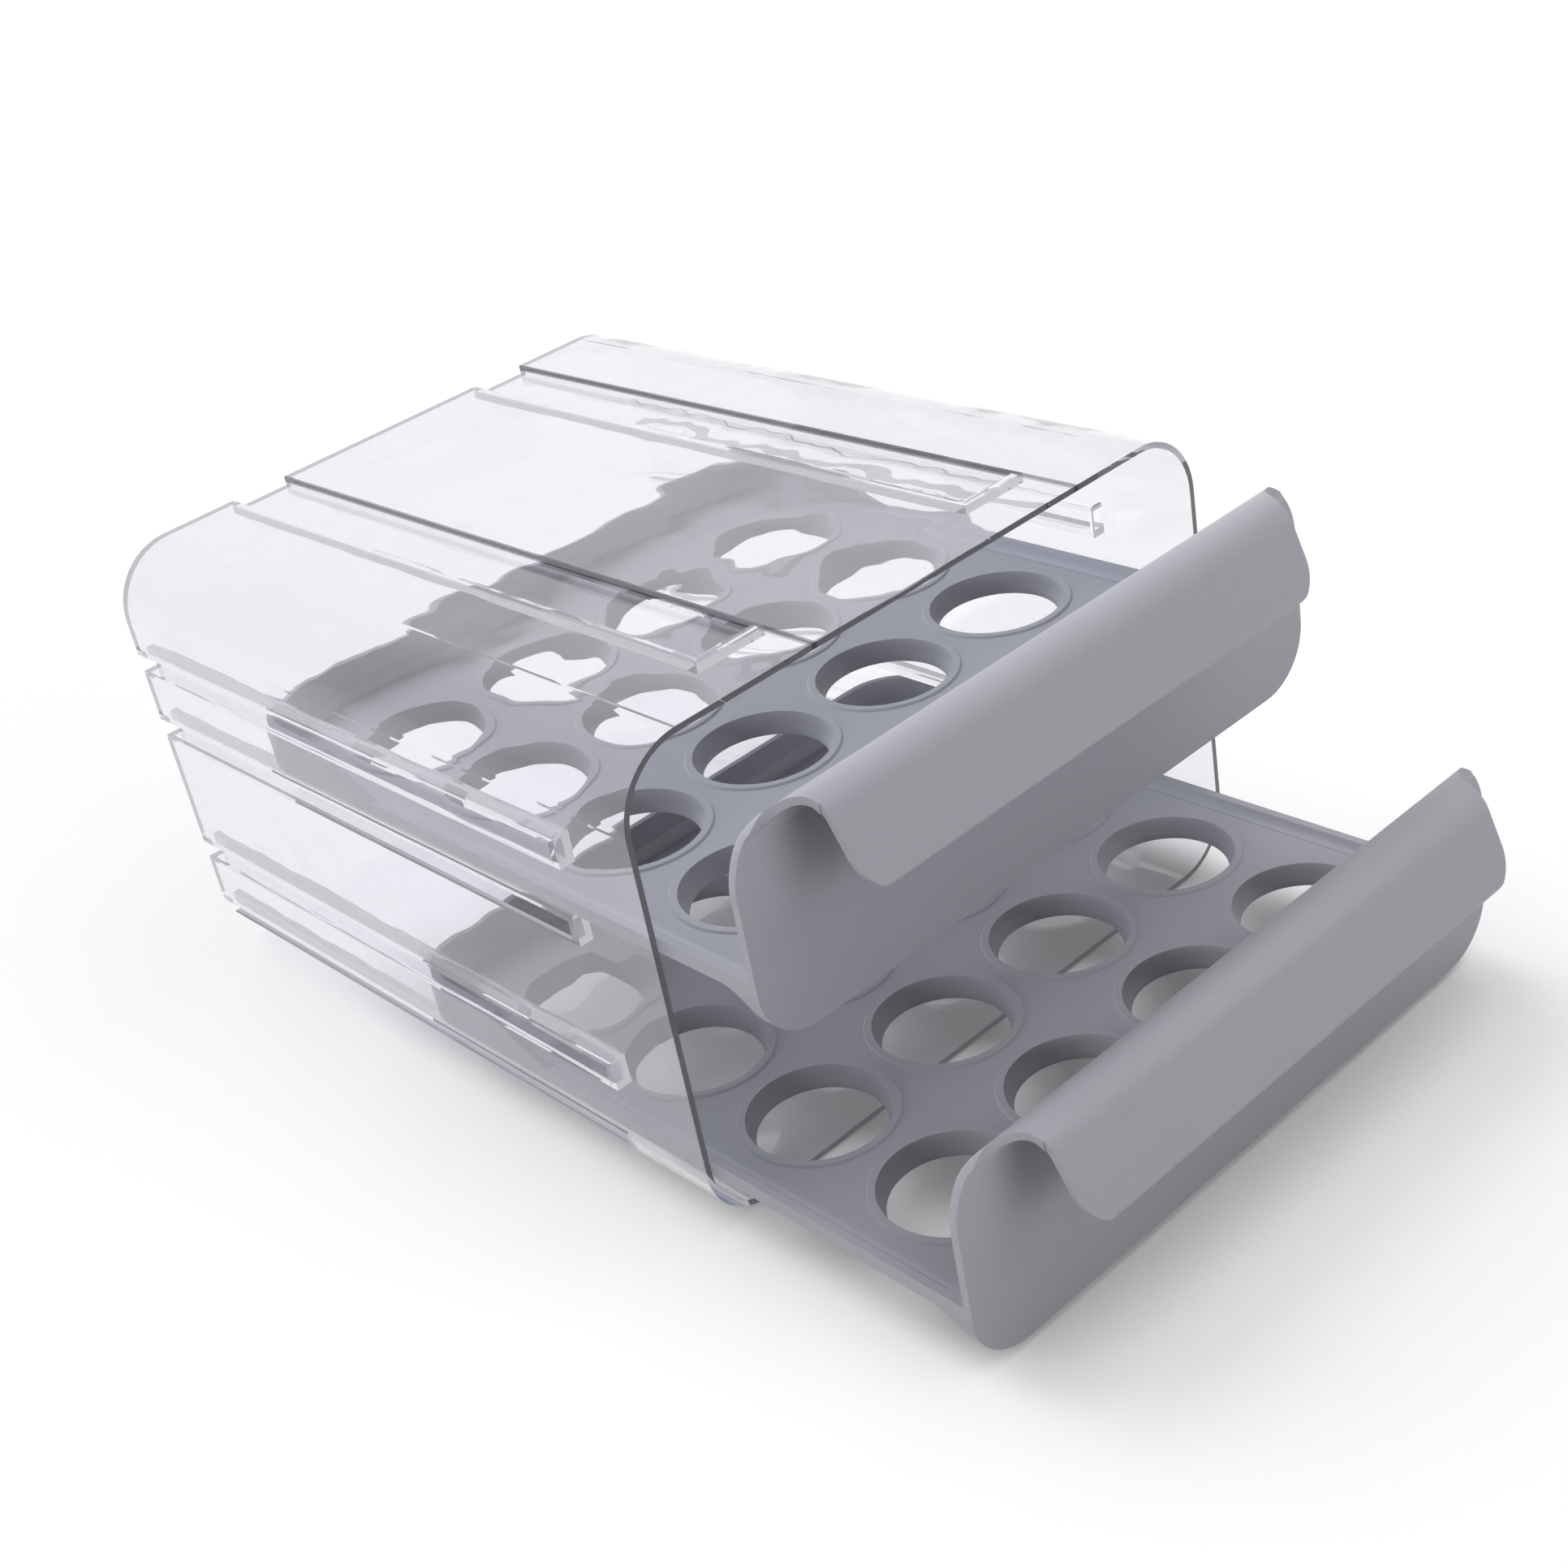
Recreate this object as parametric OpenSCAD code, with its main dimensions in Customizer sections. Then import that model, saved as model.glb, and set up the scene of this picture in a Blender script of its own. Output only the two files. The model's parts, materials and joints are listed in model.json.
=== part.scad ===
// Two-drawer egg storage container. Millimetres, +Z up, front towards -Y.
// Origin: centre of the case's underside.

/* [Case] */
// Outside width of the case, across X
case_width = 222; // [200:1:240]
// Outside height of the case
case_height = 148.5; // [135:0.5:165]
// Depth of the case from front rim to back, along Y
case_depth = 257; // [235:1:280]
// Wall thickness of the clear case
case_wall = 1.8; // [1.2:0.1:2.6]
// Outside radius of the two upper long edges
case_top_radius = 22; // [10:0.5:30]
// Outside radius of the two lower long edges
case_bottom_radius = 20; // [10:0.5:30]

/* [Side rails] */
// Depth of each moulded rail groove, measured from outside
rail_depth = 5; // [3:0.25:7]
// Height of the groove, outside
rail_groove_height = 6.3; // [4:0.1:9]
// Distance from the front rim to the square front end of the rails
rail_setback = 36; // [20:1:60]

/* [Roof channels] */
// Distance from the middle plane to each channel's centre line
channel_offset = 51.3; // [35:0.1:70]
// Width of each channel
channel_width = 20.4; // [12:0.1:30]
// Depth of each channel below the roof
channel_depth = 3; // [1.5:0.25:5]
// Distance from the front rim to the front end of the channels
channel_setback = 23; // [12:1:60]

/* [Clearances] */
// Gap between a drawer's edge and the case wall, each side
side_gap = 0.6; // [0.3:0.1:1.5]
// Gap between a tray's underside and the rail that carries it
ride_gap = 0.3; // [0.2:0.05:0.8]
// Gap between the top of a tray's back wall and the hold-down rail
hold_gap = 0.6; // [0.3:0.1:1.5]
// Gap between the lower panel's bottom edge and the case floor
floor_gap = 0.6; // [0.3:0.1:2]

/* [Drawers] */
// Height from one drawer to the next
drawer_pitch = 73; // [60:0.5:80]
// How far the upper drawer stands out at rest (panel's rear face to rim)
upper_out = 34; // [0:1:150]
// How far the lower drawer stands out at rest (panel's rear face to rim)
lower_out = 91; // [0:1:150]
// Length of the tray behind the panel
tray_length = 232; // [210:1:245]
// Thickness of the tray's floor
tray_floor = 2; // [1.5:0.1:3]
// Thickness of the tray's lip and walls
tray_wall = 2; // [1.5:0.1:3]
// Height of the side lip above the floor
lip_height = 2.5; // [1.5:0.1:6]
// Height of the back wall above the floor
back_wall_height = 11.6; // [6:0.1:14]
// Plan radius of the two back corners
tray_corner = 20; // [8:0.5:30]
// Radius of the soft corner between floor and lip
lip_fillet = 4; // [1.5:0.25:6]
// Length of the full-height side wall beside the back corners
wall_run = 26; // [20:1:60]
// Length over which the side wall slopes down to the lip
wall_slope = 24; // [8:1:60]

/* [Egg cells] */
// Distance between neighbouring cells, both ways
cell_pitch = 50; // [46:0.5:54]
// Cells across and cells deep
cell_count = 4; // [2:1:4]
// Radius of a cell where the egg rests
cell_radius = 20.6; // [18:0.1:22]
// Radius at the bottom of the collar
collar_radius = 18.5; // [16:0.1:21]
// Depth of the collar below the floor's top face
collar_depth = 6; // [3:0.25:10]
// Thickness of the collar's wall
collar_wall = 1.8; // [1.2:0.1:2.5]
// Width of the raised ring around a cell
ring_width = 2.6; // [1:0.1:4]
// Height of the raised ring
ring_height = 0.6; // [0.3:0.1:1.5]
// First row of cells behind the panel's rear face
first_row = 34; // [28:0.5:45]

/* [Pull panel] */
// Height of the panel from its bottom edge to the top of the roll
panel_height = 66.5; // [55:0.5:72]
// Thickness of the panel, roll and lip
panel_sheet = 2.4; // [1.8:0.1:3.2]
// Height of the tray's floor above the panel's bottom edge
floor_rise = 18.8; // [12:0.1:25]
// Outside radius of the roll at the top
roll_radius = 9; // [6:0.25:12]
// Lean of the lip from upright, degrees
lip_lean = 23; // [0:1:40]
// Length of the straight part of the lip
lip_length = 19.5; // [10:0.5:35]
// Radius of the panel's bottom corners
panel_corner = 17.5; // [8:0.5:25]
// Radius of the panel's top corners
shoulder_radius = 22; // [8:0.5:25]
// Radius of the sweep from panel to lip at each end
sweep_radius = 10.2; // [6:0.1:20]
// Distance from the panel's edge in to the axis of that sweep
sweep_inset = 10.2; // [2:0.1:14]
// How much each end of the lip leans in, from the roll down to its edge
lip_taper = 1.5; // [0:0.25:10]
// Radius of the lip's lower corners
lip_corner = 10.5; // [4:0.5:14]
// Thickness of the ledge behind the panel, below the lip's level
ledge = 2; // [1:0.1:4]
// Radius of the soft web from the tray's side down to the panel's foot
web_radius = 9; // [4:0.5:14]
// Plan radius of the two front corners of the well
well_corner = 8; // [4:0.5:14]
// How far the shoulders' outline stands above the roll, so that they run out softly
shoulder_rise = 0.5; // [0:0.25:4]
// Space between the upright sheet's front face and the sweep at each end
sweep_clear = 1; // [0.2:0.1:2]

/* [Hidden] */
$fn = 96;
eps = 0.01;
front_y = -case_depth / 2;
inner_half = case_width / 2 - case_wall;
drawer_half = inner_half - side_gap;
lower_z = case_wall + floor_gap;
upper_z = lower_z + drawer_pitch;
// heights of the rail grooves above a drawer's panel bottom
carry_top = floor_rise - tray_floor - ride_gap - case_wall;
carry_low = carry_top - rail_groove_height;
hold_low = floor_rise + back_wall_height + hold_gap + case_wall;
hold_top = hold_low + rail_groove_height;
// centre line of the roll, and the direction of the lip
roll_y = -roll_radius;
roll_z = panel_height - roll_radius;
roll_mid = roll_radius - panel_sheet / 2;
tip_y = roll_y - roll_mid * cos(lip_lean) - lip_length * sin(lip_lean);
tip_z = roll_z + roll_mid * sin(lip_lean) - lip_length * cos(lip_lean);
lip_bottom = tip_z - panel_sheet / 2;
row_first = -(cell_count - 1) / 2;
// axis of the sweep at each end of the panel, and where the lip starts
sweep_x = drawer_half - sweep_inset;
sweep_y = -panel_sheet - sweep_clear - sweep_radius;
sweep_edge = sweep_x - sweep_radius;

// plane shapes

// Rectangle from [x0, y0] to [x1, y1] with round corners: "rl" below, "ru" above.
module round_rect(x0, y0, x1, y1, rl, ru) {
  union() {
    polygon([
      [x0 + rl, y0], [x1 - rl, y0], [x1, y0 + rl], [x1, y1 - ru],
      [x1 - ru, y1], [x0 + ru, y1], [x0, y1 - ru], [x0, y0 + rl]
    ]);
    translate([x0 + rl, y0 + rl]) circle(r = rl);
    translate([x1 - rl, y0 + rl]) circle(r = rl);
    translate([x0 + ru, y1 - ru]) circle(r = ru);
    translate([x1 - ru, y1 - ru]) circle(r = ru);
  }
}

// Section of the case at inset "t": rounded below and above by its own radii.
module case_section(t) {
  w = case_width / 2 - t;
  round_rect(-w, t, w, case_height - t, case_bottom_radius - t, case_top_radius - t);
}

// The grooves pressed into that section: rails at both sides, channels in the roof.
module grooves(t) {
  for (s = [-1, 1]) {
    for (z = [lower_z, upper_z]) {
      for (band = [[carry_low, carry_top], [hold_low, hold_top]]) {
        translate([s * (case_width / 2 - rail_depth - t + 10), z + band[0] - t + (band[1] - band[0]) / 2 + t])
          square([20, band[1] - band[0] + 2 * t], center = true);
      }
    }
    translate([s * channel_offset, case_height - channel_depth - t + 10])
      square([channel_width + 2 * t, 20], center = true);
  }
}

// Extrude a plane X-Z shape along +Y by "d", starting at y.
module along_y(y, d) {
  translate([0, y + d, 0]) rotate([90, 0, 0]) linear_extrude(d) children();
}

// Extrude a plane Y-Z shape along X, from x0 to x1.
module along_x(x0, x1) {
  translate([x0, 0, 0]) rotate([90, 0, 90]) linear_extrude(x1 - x0) children();
}

// the clear case

module outer_case() {
  color([0.93, 0.94, 0.96, 0.35])
  difference() {
    along_y(front_y, case_depth) case_section(0);
    // grooves outside, running out at the back
    intersection() {
      union() {
        along_y(front_y + rail_setback, case_depth) intersection() {
          grooves(0);
          translate([-case_width, 0]) square([2 * case_width, case_height - case_top_radius]);
        }
        along_y(front_y + channel_setback, case_depth) intersection() {
          grooves(0);
          translate([-case_width, case_height - 10]) square([2 * case_width, 20]);
        }
      }
      along_y(front_y - 1, case_depth + 2) case_section(-1);
    }
    // hollow inside, narrowed where a groove's wall stands in
    difference() {
      along_y(front_y - 1, case_depth + 1 - case_wall) case_section(case_wall);
      along_y(front_y + rail_setback - case_wall, case_depth) intersection() {
        grooves(case_wall);
        translate([-case_width, 0]) square([2 * case_width, case_height - case_top_radius]);
      }
      along_y(front_y + channel_setback - case_wall, case_depth) intersection() {
        grooves(case_wall);
        translate([-case_width, case_height - 10]) square([2 * case_width, 20]);
      }
    }
  }
}

// one drawer, with the panel's rear face at y = 0 and its foot at z = 0

// Front outline of the panel.
module panel_outline() {
  round_rect(-drawer_half, 0, drawer_half, panel_height + shoulder_rise, panel_corner, shoulder_radius);
}

// Side profile: upright sheet, roll over the top, leaning lip with a round edge.
module panel_profile() {
  far = 4 * roll_radius;
  union() {
    translate([-panel_sheet, 0]) square([panel_sheet, roll_z]);
    translate([roll_y, roll_z]) intersection() {
      difference() {
        circle(r = roll_radius);
        circle(r = roll_radius - panel_sheet);
      }
      polygon([[0, 0], [far, 0], [far, far], [-far, far], [-far * cos(lip_lean), far * sin(lip_lean)]]);
    }
    translate([roll_y, roll_z]) rotate(-lip_lean) translate([-roll_radius, -lip_length])
      square([panel_sheet, lip_length]);
    translate([tip_y, tip_z]) circle(r = panel_sheet / 2);
  }
}

// Front outline of the lip: straight ends that lean in, round lower corners.
module lip_outline() {
  top = panel_height + 10;
  lean = lip_taper / (panel_height - lip_bottom);
  x0 = sweep_edge - 0.2 - lip_taper;
  x1 = x0 + lean * (top - lip_bottom);
  a = atan(lean);
  cx = x0 + lip_corner * tan(a) - lip_corner / cos(a);
  // the side line ends a little inside the circle, so that the two cross cleanly
  join = lip_corner - 0.05;
  tx = cx + join * cos(a);
  tz = lip_bottom + lip_corner - join * sin(a);
  union() {
    polygon([[-cx, lip_bottom - 1], [cx, lip_bottom - 1], [cx, lip_bottom], [tx, tz], [x1, top],
      [-x1, top], [-tx, tz], [-cx, lip_bottom]]);
    translate([cx, lip_bottom + lip_corner]) circle(r = lip_corner);
    translate([-cx, lip_bottom + lip_corner]) circle(r = lip_corner);
  }
}

// The rolled pull panel.
module pull_panel() {
  high = panel_height + 8;
  difference() {
    along_x(-drawer_half, drawer_half) panel_profile();
    // shoulders and lower corners
    along_y(-60, 120) difference() {
      translate([-2 * drawer_half, -5]) square([4 * drawer_half, panel_height + 20]);
      panel_outline();
    }
    // sweep from each shoulder round to the lip's end
    for (s = [-1, 1]) {
      translate([s * sweep_x, sweep_y, -1]) cylinder(r = sweep_radius, h = high);
      translate([s * (sweep_x + 15) - 15, sweep_y, -1]) cube([30, sweep_radius, high]);
    }
    // in front of the sweep the lip's own outline rules
    along_y(sweep_y - 60, 60) difference() {
      translate([-2 * drawer_half, lip_bottom - 5]) square([4 * drawer_half, panel_height]);
      lip_outline();
    }
  }
}

// Plan of the tray, inset by "t": square at the front, round at the back.
module tray_plan(t) {
  w = drawer_half - t;
  r = tray_corner - t;
  l = tray_length - t;
  union() {
    polygon([[-w, 0], [w, 0], [w, l - r], [w - r, l], [-w + r, l], [-w, l - r]]);
    translate([w - r, l - r]) circle(r = r);
    translate([-w + r, l - r]) circle(r = r);
  }
}

// Side view that trims the wall: low lip in front, slope, full height behind.
module wall_trim() {
  y1 = tray_length - tray_corner - wall_run;
  y0 = y1 - wall_slope;
  low = floor_rise + lip_height;
  high = floor_rise + back_wall_height;
  polygon([[0, -1], [tray_length + 1, -1], [tray_length + 1, high], [y1, high], [y0, low], [0, low]]);
}

// Concave quarter, for soft inner corners; it ends in a hair's width, not in a knife edge.
module quarter(r) {
  difference() {
    square([r, r]);
    translate([r + 0.12, r + 0.12]) circle(r = r);
  }
}

// One cell's collar, hung under the floor: the cone inside is part of the section.
module collar() {
  rotate_extrude() polygon([
    [collar_radius, floor_rise - collar_depth],
    [collar_radius + collar_wall, floor_rise - collar_depth],
    [cell_radius + collar_wall, floor_rise - tray_floor],
    [cell_radius, floor_rise - tray_floor]
  ]);
}

// The raised ring round a cell.
module ring() {
  rotate_extrude() polygon([
    [cell_radius, floor_rise],
    [cell_radius + ring_width, floor_rise],
    [cell_radius + ring_width - ring_height, floor_rise + ring_height],
    [cell_radius, floor_rise + ring_height]
  ]);
}

module at_cells() {
  for (i = [0 : cell_count - 1]) {
    for (j = [0 : cell_count - 1]) {
      translate([(row_first + i) * cell_pitch, first_row + j * cell_pitch, 0]) children();
    }
  }
}

// Soft corner between floor and lip, along both sides and round the back.
module floor_fillet() {
  w = drawer_half - tray_wall;
  r = tray_corner - tray_wall;
  back = tray_length - tray_corner;
  for (s = [0, 1]) mirror([s, 0, 0]) {
    translate([0, 0, floor_rise]) intersection() {
      along_y(0, back) translate([w, 0]) mirror([1, 0]) quarter(lip_fillet);
      translate([0, 0, -1]) cube([200, 400, lip_height + 1]);
    }
    translate([w - r, back, floor_rise]) intersection() {
      rotate_extrude() difference() {
        translate([r - lip_fillet, 0]) square([lip_fillet + eps, lip_fillet]);
        translate([r - lip_fillet, lip_fillet]) circle(r = lip_fillet);
      }
      translate([0, 0, -1]) cube([200, 200, 100]);
    }
  }
  translate([0, tray_length - tray_wall, floor_rise]) rotate([0, 0, 180])
    along_x(-w + r, w - r) quarter(lip_fillet);
}

module drawer() {
  well_half = drawer_half - tray_wall;
  lip_top = floor_rise + lip_height;
  color([0.60, 0.61, 0.65])
  union() {
    pull_panel();
    // floor, its cells open, with a collar under and a ring over each one
    translate([0, 0, floor_rise - tray_floor]) linear_extrude(tray_floor) difference() {
      tray_plan(0);
      at_cells() circle(r = cell_radius);
    }
    at_cells() collar();
    at_cells() ring();
    // lip and back wall, one band trimmed in side view
    intersection() {
      translate([0, 0, floor_rise]) linear_extrude(back_wall_height) difference() {
        tray_plan(0);
        tray_plan(tray_wall);
      }
      along_x(-200, 200) wall_trim();
    }
    floor_fillet();
    // ledge behind the panel, up to the lip's level
    intersection() {
      along_y(0, ledge) panel_outline();
      translate([-200, -1, -1]) cube([400, 20, lip_top + 1]);
    }
    // soft corner from floor up to the ledge
    translate([0, ledge, floor_rise]) intersection() {
      along_x(-well_half, well_half) quarter(lip_fillet);
      translate([-200, -1, -1]) cube([400, 20, lip_height + 1]);
    }
    for (s = [0, 1]) mirror([s, 0, 0]) {
      // round front corner of the well
      translate([well_half, ledge, floor_rise]) mirror([1, 0, 0])
        linear_extrude(lip_height) quarter(well_corner);
      // web from the tray's side down to the panel's foot
      intersection() {
        along_x(drawer_half - panel_sheet, drawer_half) translate([ledge, floor_rise - tray_floor])
          mirror([0, 1]) quarter(web_radius);
        along_y(-1, ledge + web_radius + 2) panel_outline();
      }
    }
  }
}

module upper_drawer() {
  translate([0, front_y - upper_out, upper_z]) drawer();
}

module lower_drawer() {
  translate([0, front_y - lower_out, lower_z]) drawer();
}

outer_case();
upper_drawer();
lower_drawer();
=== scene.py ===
# %% [markdown]
# # A two-drawer egg keeper, dressed for its picture
# The part is a clear case, open in front, and two grey trays that slide on rails
# moulded into its walls. The construction model already holds the true shapes, so
# this lesson adds what a camera sees and a drawing does not: the view, the light,
# the skin of the plastics and soft edges.

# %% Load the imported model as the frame
import json
import math
import bpy
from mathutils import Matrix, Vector

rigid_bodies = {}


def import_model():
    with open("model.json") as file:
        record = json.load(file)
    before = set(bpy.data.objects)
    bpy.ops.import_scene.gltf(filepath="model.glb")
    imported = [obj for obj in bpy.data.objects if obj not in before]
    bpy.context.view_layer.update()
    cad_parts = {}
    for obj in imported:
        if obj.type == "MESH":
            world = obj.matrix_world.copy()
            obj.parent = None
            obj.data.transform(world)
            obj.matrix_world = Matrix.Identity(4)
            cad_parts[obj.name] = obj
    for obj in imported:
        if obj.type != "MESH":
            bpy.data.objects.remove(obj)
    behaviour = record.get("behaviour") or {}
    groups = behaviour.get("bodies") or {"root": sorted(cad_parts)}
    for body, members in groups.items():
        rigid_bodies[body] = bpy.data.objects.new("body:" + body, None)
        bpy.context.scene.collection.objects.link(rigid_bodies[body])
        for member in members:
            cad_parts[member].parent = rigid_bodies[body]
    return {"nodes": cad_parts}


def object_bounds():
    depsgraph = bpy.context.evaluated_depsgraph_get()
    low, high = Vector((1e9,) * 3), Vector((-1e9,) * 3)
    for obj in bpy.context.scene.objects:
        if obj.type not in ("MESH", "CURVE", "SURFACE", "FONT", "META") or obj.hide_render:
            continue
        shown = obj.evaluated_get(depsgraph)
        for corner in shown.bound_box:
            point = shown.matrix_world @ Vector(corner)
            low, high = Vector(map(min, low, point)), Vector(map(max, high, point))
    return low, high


for leftover in list(bpy.data.objects):
    bpy.data.objects.remove(leftover)
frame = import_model()
cad_box = [list(corner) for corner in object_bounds()]
nodes = frame["nodes"]
MM = 0.001
print("nodes:", sorted(nodes), "box in metres:", cad_box)

# %% [markdown]
# ## The camera
# The picture was taken from the front left, looking down on the roof. A camera can
# be placed by eye, but a few millimetres of error already shift every line. So its
# place was found by fitting the case's rim, its back outline and the rows of round
# cells to their places in the picture. A small shift of the frame keeps the object
# where the picture has it.

# %% Place the camera
camera_data = bpy.data.cameras.new("camera")
camera_data.sensor_width = 36.0
camera_data.lens = 51.779
camera_data.shift_x = 0.08592
camera_data.shift_y = 0.0176
camera_data.clip_start = 0.01
camera_data.clip_end = 50.0
camera = bpy.data.objects.new("camera", camera_data)
camera.location = (-0.37187, -0.52537, 0.40499)
camera.rotation_euler = (1.04028, 0.19958, -0.71256)
bpy.context.scene.collection.objects.link(camera)
bpy.context.scene.camera = camera
bpy.context.scene.view_settings.view_transform = "Standard"
print("lens", camera_data.lens, "mm, shift", camera_data.shift_x, camera_data.shift_y)

# %% [markdown]
# ## The white world
# The picture is cut out on white. A bright world would give that white, but it would
# also wash out the greys with light from all sides. So the white is only what the
# camera, reflections and the clear plastic see: the light path tells these rays from
# the light that falls on the object, which stays faint here. Light that a matt
# surface gathers through the clear wall must not count as seeing, or the case would
# glow inside. The cells below first make short helpers, because a world, like a
# material, is a tree of nodes.

# %% Helpers: add a node, blend two shaders
def add(tree, kind, label=None, **inputs):
    """Add a node and set its inputs by name; underscores stand for blanks."""
    node = tree.nodes.new(kind)
    if label:
        node.label = label
    for name, value in inputs.items():
        node.inputs[name.replace("_", " ")].default_value = value
    return node


def blend(tree, factor, first, second):
    """The first shader where factor is 0, the second where it is 1."""
    node = tree.nodes.new("ShaderNodeMixShader")
    tree.links.new(factor, node.inputs["Fac"])
    tree.links.new(first.outputs[0], node.inputs[1])
    tree.links.new(second.outputs[0], node.inputs[2])
    return node

print("helpers: add, blend")

# %% Helpers: calculate, and tell looking from lighting
def calculate(tree, operation, first, second=0.0):
    """One step of arithmetic on two links or numbers."""
    node = tree.nodes.new("ShaderNodeMath")
    node.operation = operation
    for place, value in enumerate((first, second)):
        if isinstance(value, (int, float)):
            node.inputs[place].default_value = value
        else:
            tree.links.new(value, node.inputs[place])
    return node.outputs[0]


def seen_directly(tree):
    """1 for rays that see the stage: from the camera, by gloss or through plastic."""
    path = tree.nodes.new("ShaderNodeLightPath")
    total = calculate(tree, "MAXIMUM", path.outputs["Is Camera Ray"],
                      path.outputs["Is Glossy Ray"])
    total = calculate(tree, "MAXIMUM", total, path.outputs["Is Transmission Ray"])
    first = calculate(tree, "LESS_THAN", path.outputs["Diffuse Depth"], 0.5)
    return calculate(tree, "MULTIPLY", total, first)

print("helpers: calculate, seen_directly")

# %% Paint the world
world = bpy.data.worlds.new("studio")
bpy.context.scene.world = world
world.use_nodes = True
sky = world.node_tree
sky.nodes.clear()
white = add(sky, "ShaderNodeBackground", "white backdrop", Color=(1, 1, 1, 1), Strength=1.0)
fill = add(sky, "ShaderNodeBackground", "soft fill", Color=(0.97, 0.98, 1.0, 1), Strength=0.05)
which = blend(sky, seen_directly(sky), fill, white)
world_out = sky.nodes.new("ShaderNodeOutputWorld")
sky.links.new(which.outputs[0], world_out.inputs["Surface"])
print("world: white backdrop, fill", round(fill.inputs["Strength"].default_value, 3))

# %% [markdown]
# ## The paper floor
# The object stands on a large sheet of pale paper. One flat colour would look dead,
# so slow noise clouds it a little. The noise is taken in the object's own space, and
# so nothing slides when the camera moves.

# %% Lay the paper
REACH = 3.0
FLOOR_Z = -0.2 * MM
corners = [(x * REACH, y * REACH, FLOOR_Z) for x, y in ((-1, -1), (1, -1), (1, 1), (-1, 1))]
floor_mesh = bpy.data.meshes.new("floor")
floor_mesh.from_pydata(corners, [], [(0, 1, 2, 3)])
floor = bpy.data.objects.new("floor", floor_mesh)
bpy.context.scene.collection.objects.link(floor)
print("floor", 2 * REACH, "m square at z", FLOOR_Z)

# %% Helpers: noise and a range of colour
def noise(tree, scale, detail=2.0, label=None):
    """Soft noise in object space; scale is in waves per metre."""
    place = tree.nodes.get("place") or tree.nodes.new("ShaderNodeTexCoord")
    place.name = "place"
    node = add(tree, "ShaderNodeTexNoise", label, Scale=scale, Detail=detail)
    tree.links.new(place.outputs["Object"], node.inputs["Vector"])
    return node


def tint(tree, source, first, second):
    """A colour that runs from first to second as the source goes from 0 to 1."""
    node = tree.nodes.new("ShaderNodeMixRGB")
    node.inputs[1].default_value = (*first, 1)
    node.inputs[2].default_value = (*second, 1)
    tree.links.new(source, node.inputs[0])
    return node.outputs[0]

print("helpers: noise, tint")

# %% Colour the paper
paper = bpy.data.materials.new("pale_paper")
paper.use_nodes = True
tree = paper.node_tree
tree.nodes.clear()
matt = add(tree, "ShaderNodeBsdfDiffuse", "paper", Roughness=0.5)
tone = noise(tree, 6.0, 1.0, "paper tone")
pale = tint(tree, tone.outputs["Fac"], (0.49, 0.49, 0.495), (0.51, 0.51, 0.51))
tree.links.new(pale, matt.inputs["Color"])
floor_mesh.materials.append(paper)
print("paper:", paper.name, "on", floor.name)

# %% [markdown]
# ## White around, grey below
# In the picture the open paper is as white as the backdrop, but it is grey under the
# trays. More light would whiten it and spoil the object. Instead the paper glows
# with a light that falls on nothing: the matt sheet still takes the shadow, and the
# glow lifts it. The glow is weaker below the trays, so the grey there is partly real
# shadow and partly painted shade: behind the rim by place, ahead of it by how much of
# the paper's sky a tray covers, so a closed drawer leaves no grey patch.

# %% Helpers: ranges, soft steps and axes
def spread(tree, source, low, high):
    """Map a 0 to 1 value to low to high."""
    node = add(tree, "ShaderNodeMapRange", To_Min=low, To_Max=high)
    tree.links.new(source, node.inputs["Value"])
    return node.outputs["Result"]


def fade(tree, source, start, end):
    """1 up to start, falling softly to 0 at end."""
    node = add(tree, "ShaderNodeMapRange", From_Min=start, From_Max=end, To_Min=1.0, To_Max=0.0)
    node.interpolation_type = "SMOOTHSTEP"
    tree.links.new(source, node.inputs["Value"])
    return node.outputs["Result"]


def axes(tree, source):
    """The X, Y and Z of a vector."""
    node = tree.nodes.new("ShaderNodeSeparateXYZ")
    tree.links.new(source, node.inputs[0])
    return node.outputs

print("helpers: spread, fade, axes")

# %% Find the paper under the trays
# The case stands centred, so its rim is as far ahead as its back is behind.
RIM_Y = -cad_box[1][1]
TRAY_SIDE = (0.085, 0.118)
TRAY_BACK = (0.01, 0.09)
SKY_LEFT = (0.3, 0.85)
# A mask for painted shade on the paper: by place behind the rim, by a tray's cover ahead of it.
where = axes(tree, tree.nodes["place"].outputs["Object"])
across = fade(tree, calculate(tree, "ABSOLUTE", where["X"]), *TRAY_SIDE)
below_case = fade(tree, where["Y"], *TRAY_BACK)
cover = add(tree, "ShaderNodeAmbientOcclusion", "paper covered by a tray", Distance=60 * MM)
cover.samples = 12
below_tray = fade(tree, cover.outputs["AO"], *SKY_LEFT)
choose = tree.nodes.new("ShaderNodeMix")
tree.links.new(calculate(tree, "LESS_THAN", where["Y"], RIM_Y), choose.inputs["Factor"])
tree.links.new(below_case, choose.inputs[2])
tree.links.new(below_tray, choose.inputs[3])
under = calculate(tree, "MULTIPLY", across, choose.outputs[0])
print("grey paper fades out over x", TRAY_SIDE, "and y", TRAY_BACK)
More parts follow.
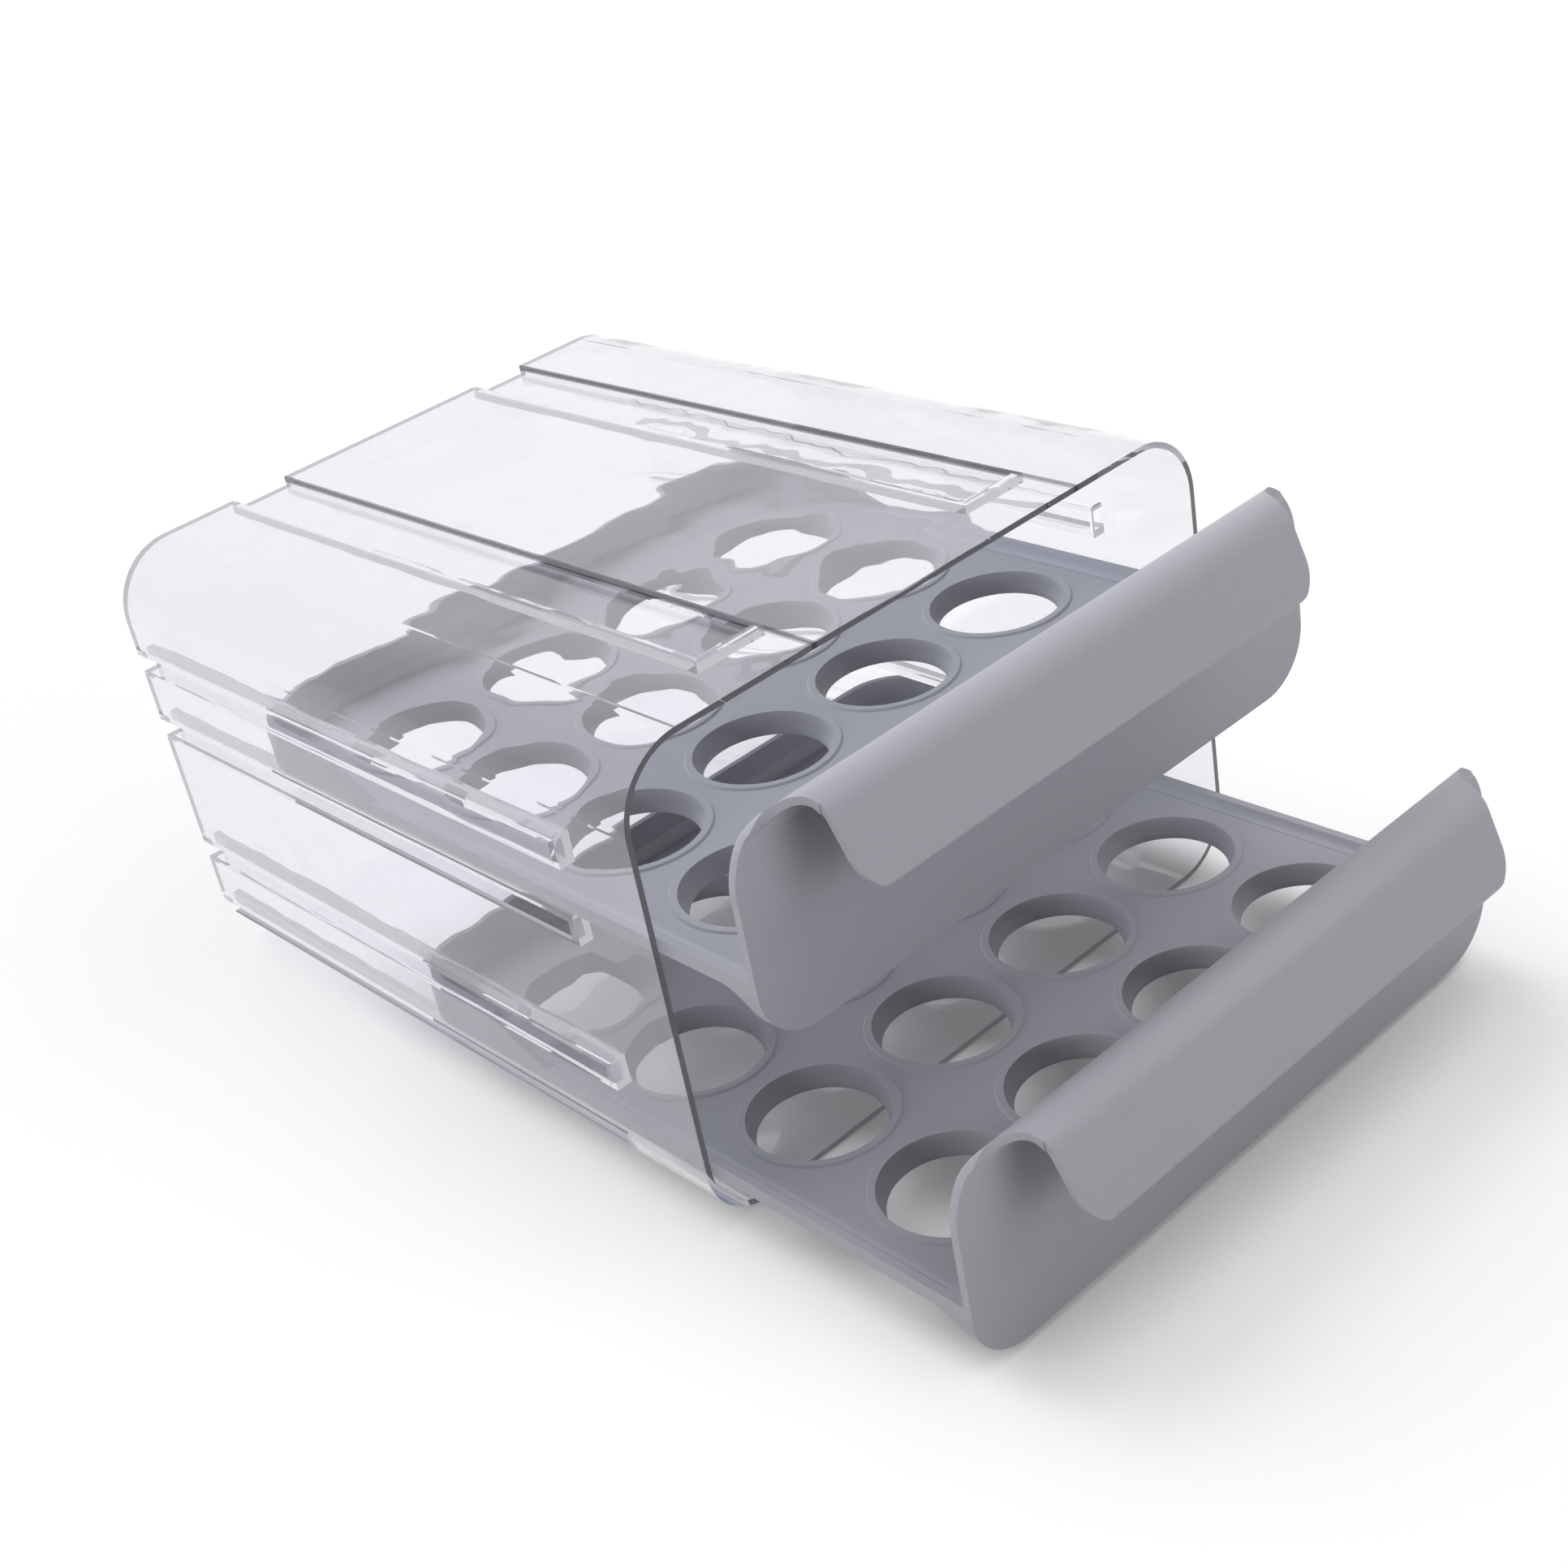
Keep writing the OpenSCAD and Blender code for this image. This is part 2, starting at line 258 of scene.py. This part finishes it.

# %% Lift the open paper to white
# The weaker glow under a tray paints shade on the paper there.
OPEN_GLOW, PAINTED_SHADE_GLOW = 0.53, 0.10
glow = add(tree, "ShaderNodeEmission", "white seen by the camera", Color=(1, 1, 1, 1))
tree.links.new(spread(tree, under, OPEN_GLOW, PAINTED_SHADE_GLOW), glow.inputs["Strength"])
dark = add(tree, "ShaderNodeEmission", "no glow on the object", Color=(0, 0, 0, 1), Strength=0.0)
pick = blend(tree, seen_directly(tree), dark, glow)
both = tree.nodes.new("ShaderNodeAddShader")
tree.links.new(matt.outputs[0], both.inputs[0])
tree.links.new(pick.outputs[0], both.inputs[1])
paper_out = tree.nodes.new("ShaderNodeOutputMaterial")
tree.links.new(both.outputs[0], paper_out.inputs["Surface"])
print("glow", OPEN_GLOW, "in the open,", PAINTED_SHADE_GLOW, "under a tray")

# %% [markdown]
# ## Studio light
# Soft light lies on the picture, as from large panels. Area lamps could give it, but
# near lamps light the paper unevenly, and its white then shows an edge. Broad suns
# light it all alike. Each is given by the side it stands on, its height and how broad it
# looks from the object, which sets how soft its shadow is. Each was first rendered
# alone, to see which greys it gives to the pull lips, fronts and tray floors: a key
# from the front right, a low fill in front, a strong one behind and above, which
# lights the tray floors through the clear roof, and a low one from the left. All but
# the key would show as bright bars in the plastic, so gloss doesn't see them.

# %% Hang the lamps
def soft_panel(name, azimuth, height, breadth, strength, colour, shine=True):
    """A broad sun; azimuth counts from the front towards the right, in degrees."""
    data = bpy.data.lights.new(name, "SUN")
    data.angle = math.radians(breadth)
    data.energy = strength
    data.color = colour
    lamp = bpy.data.objects.new(name, data)
    turn, rise = math.radians(azimuth), math.radians(height)
    level = math.cos(rise)
    towards = Vector((math.sin(turn) * level, -math.cos(turn) * level, math.sin(rise)))
    lamp.location = towards
    lamp.rotation_euler = towards.to_track_quat("Z", "Y").to_euler()
    lamp.visible_transmission = False
    lamp.visible_glossy = shine
    bpy.context.scene.collection.objects.link(lamp)


soft_panel("key", 50, 45, 60, 1.0, (1.0, 0.99, 0.985))
soft_panel("front", 10, 8, 40, 1.25, (0.98, 0.98, 1.0), shine=False)
soft_panel("behind", 180, 48, 50, 3.7, (0.99, 0.99, 1.0), shine=False)
soft_panel("low_left", -95, 6, 30, 1.7, (1.0, 0.995, 1.0), shine=False)

# %% [markdown]
# ## The satin grey plastic of the trays
# The trays are moulded in a cool grey plastic with a satin skin. A plain grey with
# one gloss value would look like a drawing. So slow noise clouds the colour a
# little, finer noise varies the gloss, and a hair-fine bump is the grain of the
# mould. Both trays come from one mould and one plastic; only the clouds differ, as
# they do from one shot to the next.

# %% Mix the grey plastic
PLASTIC_IOR = 1.49


def satin_grey(name, seed):
    """The trays' plastic; seed shifts the clouds in its colour."""
    material = bpy.data.materials.new(name)
    material.use_nodes = True
    tree = material.node_tree
    skin = tree.nodes["Principled BSDF"]
    skin.inputs["IOR"].default_value = PLASTIC_IOR
    skin.inputs["Specular IOR Level"].default_value = 0.45
    cloud = noise(tree, 9.0, 2.0, "slow clouds in the colour")
    cloud.noise_dimensions = "4D"
    cloud.inputs["W"].default_value = seed
    colour = tint(tree, cloud.outputs["Fac"], (0.332, 0.334, 0.374), (0.362, 0.364, 0.404))
    tree.links.new(colour, skin.inputs["Base Color"])
    patch = noise(tree, 55.0, 3.0, "patches of gloss")
    tree.links.new(spread(tree, patch.outputs["Fac"], 0.40, 0.52), skin.inputs["Roughness"])
    grain = noise(tree, 2600.0, 2.0, "grain of the mould")
    bump = add(tree, "ShaderNodeBump", "grain", Strength=0.25, Distance=0.04 * MM)
    tree.links.new(grain.outputs["Fac"], bump.inputs["Height"])
    tree.links.new(bump.outputs["Normal"], skin.inputs["Normal"])
    return material


grey_upper = satin_grey("satin_grey_upper", 1.0)
grey_lower = satin_grey("satin_grey_lower", 4.0)
print("grey plastics:", grey_upper.name, "and", grey_lower.name)

# %% [markdown]
# ## The clear plastic of the case
# The case is thin, water-clear plastic, moulded in one shot. A see-through shader
# without bending would be quicker, but it loses the edges. Light bends in and out
# of a real wall, so the model's closed wall does the work here, with the index of
# such a plastic and a trace of haze.

# %% Mix the clear plastic
clear = bpy.data.materials.new("clear_plastic")
clear.use_nodes = True
tree = clear.node_tree
wall = tree.nodes["Principled BSDF"]
wall.inputs["Specular IOR Level"].default_value = 0.5
wall.inputs["Transmission Weight"].default_value = 1.0
wall.inputs["IOR"].default_value = PLASTIC_IOR
smear = noise(tree, 40.0, 2.0, "faint haze")
tree.links.new(spread(tree, smear.outputs["Fac"], 0.0, 0.03), wall.inputs["Roughness"])
print("clear plastic, index", PLASTIC_IOR)

# %% [markdown]
# ## The ripple of the clear wall
# In the picture the cells waver where they are seen through the roof, because a
# moulded wall is never quite even. A bump gives that. Its noise has to differ between
# the wall's two faces: two equal faces would bend the light there and back again, and
# nothing would waver. So the noise's fourth number is shifted where light leaves the
# wall, on the side that the ray meets from behind.

# %% Ripple the two faces
FACE_SHIFT = 7.0
side = tree.nodes.new("ShaderNodeNewGeometry")
flow = noise(tree, 26.0, 1.5, "slow ripple of the moulding")
flow.noise_dimensions = "4D"
shift = calculate(tree, "MULTIPLY", side.outputs["Backfacing"], FACE_SHIFT)
tree.links.new(shift, flow.inputs["W"])
ripple = add(tree, "ShaderNodeBump", "ripple", Strength=0.6, Distance=1.1 * MM)
tree.links.new(flow.outputs["Fac"], ripple.inputs["Height"])
tree.links.new(ripple.outputs["Normal"], wall.inputs["Normal"])
print("ripple", round(ripple.inputs["Distance"].default_value / MM, 2), "mm at full strength")

# %% [markdown]
# ## The dark lines of the roof channels
# The far edges of the two roof channels show as dark lines. In the real wall a tight
# corner sends the light away from the eye. The model's corner is sharp and does
# that too seldom, so painted shade darkens the wall's colour in a narrow strip there.

# %% Paint shade lines at the channel edges
CHANNEL_OFFSET, CHANNEL_HALF = 51.3 * MM, 10.2 * MM
CHANNEL_EDGES = (CHANNEL_HALF + CHANNEL_OFFSET, CHANNEL_HALF - CHANNEL_OFFSET)
LINE_HALF = 0.8 * MM
ROOF_Z = cad_box[1][2] - 1.9 * MM


def near(tree, source, value, reach):
    """1 within reach of value, 0 elsewhere."""
    gap = calculate(tree, "ABSOLUTE", calculate(tree, "SUBTRACT", source, value))
    return calculate(tree, "LESS_THAN", gap, reach)


along = axes(tree, tree.nodes["place"].outputs["Object"])
strips = calculate(tree, "ADD", *(near(tree, along["X"], x, LINE_HALF) for x in CHANNEL_EDGES))
painted_shade_line = calculate(tree, "MULTIPLY", strips, calculate(tree, "GREATER_THAN", along["Z"], ROOF_Z))
# In these strips the wall's colour turns nearly black: painted shade.
water = tint(tree, painted_shade_line, (0.935, 0.93, 0.955), (0.15, 0.15, 0.16))
tree.links.new(water, wall.inputs["Base Color"])
print("channel lines at x", [round(x / MM, 2) for x in CHANNEL_EDGES], "mm")

# %% [markdown]
# ## Light led along the wall
# A clear sheet leads light along inside it and lets it out at its edges, which are
# grey for that reason, and nearly black at the front rim. A renderer gives up on
# such light after a few bounces and leaves the edges pitch black. So a ray that
# has bounced that often meets a painted glow instead: the soft grey that it would
# have found, dimmer near the front rim.

# %% Paint a glow for the light trapped at the edges
EDGE_GLOW, RIM_GLOW = 0.55, 0.12
RIM_REACH = RIM_Y + 33.5 * MM
MANY_BOUNCES = 5.5
path = tree.nodes.new("ShaderNodeLightPath")
# Painted light: a grey glow on rays that have bounced often, weaker near the front rim.
painted_edge_glow = add(tree, "ShaderNodeEmission", "light led along the wall", Color=(0.96, 0.95, 1.0, 1))
rim = calculate(tree, "LESS_THAN", along["Y"], RIM_REACH)
tree.links.new(spread(tree, rim, EDGE_GLOW, RIM_GLOW), painted_edge_glow.inputs["Strength"])
caught = calculate(tree, "GREATER_THAN", path.outputs["Ray Depth"], MANY_BOUNCES)
edge_mix = blend(tree, caught, wall, painted_edge_glow)
print("edge glow", EDGE_GLOW, "and near the rim", RIM_GLOW)

# %% [markdown]
# ## The milky veil, a painted glow
# Clear plastic is never quite clear: it scatters a little light, and what lies
# behind it looks paler than what stands in the open. A volume that scatters would
# give that slowly and with grain. Here painted light does it instead: a thin share
# of white glow on the first face that the camera meets. It is strongest on the roof.
# It is left off the channel lines and off what faces the front or the back, so that
# the rim stays dark.

# %% Add the milky veil as a painted glow
# Painted light: a white glow seen only by the camera, more on the roof than on the sides.
PAINTED_VEIL_WALL, PAINTED_VEIL_ROOF = 0.04, 0.08
veil = add(tree, "ShaderNodeEmission", "milky veil of the plastic",
           Color=(0.97, 0.965, 1.0, 1), Strength=0.86)
facing = axes(tree, side.outputs["Normal"])
broad = calculate(tree, "LESS_THAN", calculate(tree, "ABSOLUTE", facing["Y"]), 0.5)
outer = calculate(tree, "MULTIPLY", path.outputs["Is Camera Ray"], broad)
outer = calculate(tree, "MULTIPLY", outer, calculate(tree, "SUBTRACT", 1.0, painted_shade_line))
share = spread(tree, calculate(tree, "ABSOLUTE", facing["Z"]), PAINTED_VEIL_WALL, PAINTED_VEIL_ROOF)
painted_veil_mix = blend(tree, calculate(tree, "MULTIPLY", share, outer), edge_mix, veil)
print("veil", PAINTED_VEIL_WALL, "on the sides,", PAINTED_VEIL_ROOF, "on the roof")

# %% [markdown]
# ## Shadow and body of the clear plastic
# A clear wall throws hardly any shadow, so shadow rays pass it nearly unhindered.
# The cool tint is in the body of the plastic, not on its skin, and so it is an
# absorbing volume: it shows only where light goes a long way, as along the edges.

# %% Pass shadows and tint the body
through = add(tree, "ShaderNodeBsdfTransparent", "light that passes", Color=(0.93, 0.94, 0.96, 1))
case_mix = blend(tree, path.outputs["Is Shadow Ray"], painted_veil_mix, through)
case_out = tree.nodes["Material Output"]
tree.links.new(case_mix.outputs[0], case_out.inputs["Surface"])
depth = add(tree, "ShaderNodeVolumeAbsorption", "tint of a long way through",
            Color=(0.60, 0.63, 0.72, 1), Density=14.0)
tree.links.new(depth.outputs[0], case_out.inputs["Volume"])
print("clear plastic:", len(tree.nodes), "nodes")

# %% [markdown]
# ## Soft edges on the moulded parts
# No moulded edge is a knife edge. The rounding could be drawn into the construction
# model, at the price of many small faces, or be made by a modifier that leaves the
# mesh alone, which is the way here: modifiers join the split vertices, clear the
# flat faces of needless cuts, and round each true edge. The clear case stays as it
# is, because rounding would open folds in its thin closed wall and spoil the way of
# the light through it.

# %% Round the edges
def soften(node, radius, limit):
    """Join, clean and round a node's edges that are sharper than limit degrees."""
    weld = node.modifiers.new("join", "WELD")
    weld.merge_threshold = 0.002 * MM
    clean = node.modifiers.new("clean", "DECIMATE")
    clean.decimate_type = "DISSOLVE"
    clean.angle_limit = math.radians(0.6)
    edge = node.modifiers.new("soft edge", "BEVEL")
    edge.width = radius
    edge.segments = 2
    edge.limit_method = "ANGLE"
    edge.angle_limit = math.radians(limit)
    edge.harden_normals = True


for name in ("upper_drawer", "lower_drawer"):
    soften(nodes[name], 0.30 * MM, 35)
    print("edges rounded on", name, [m.name for m in nodes[name].modifiers])

# %% [markdown]
# ## Put it together
# The construction model gave each node one material slot. The slots get the new
# plastics, and nothing else about the nodes changes, so each still rides on its own
# body and slides as it should.

# %% Give each node its plastic
plastics = {"outer_case": clear, "upper_drawer": grey_upper, "lower_drawer": grey_lower}
for name, plastic in plastics.items():
    nodes[name].material_slots[0].material = plastic
print("materials:", {name: plastic.name for name, plastic in plastics.items()})
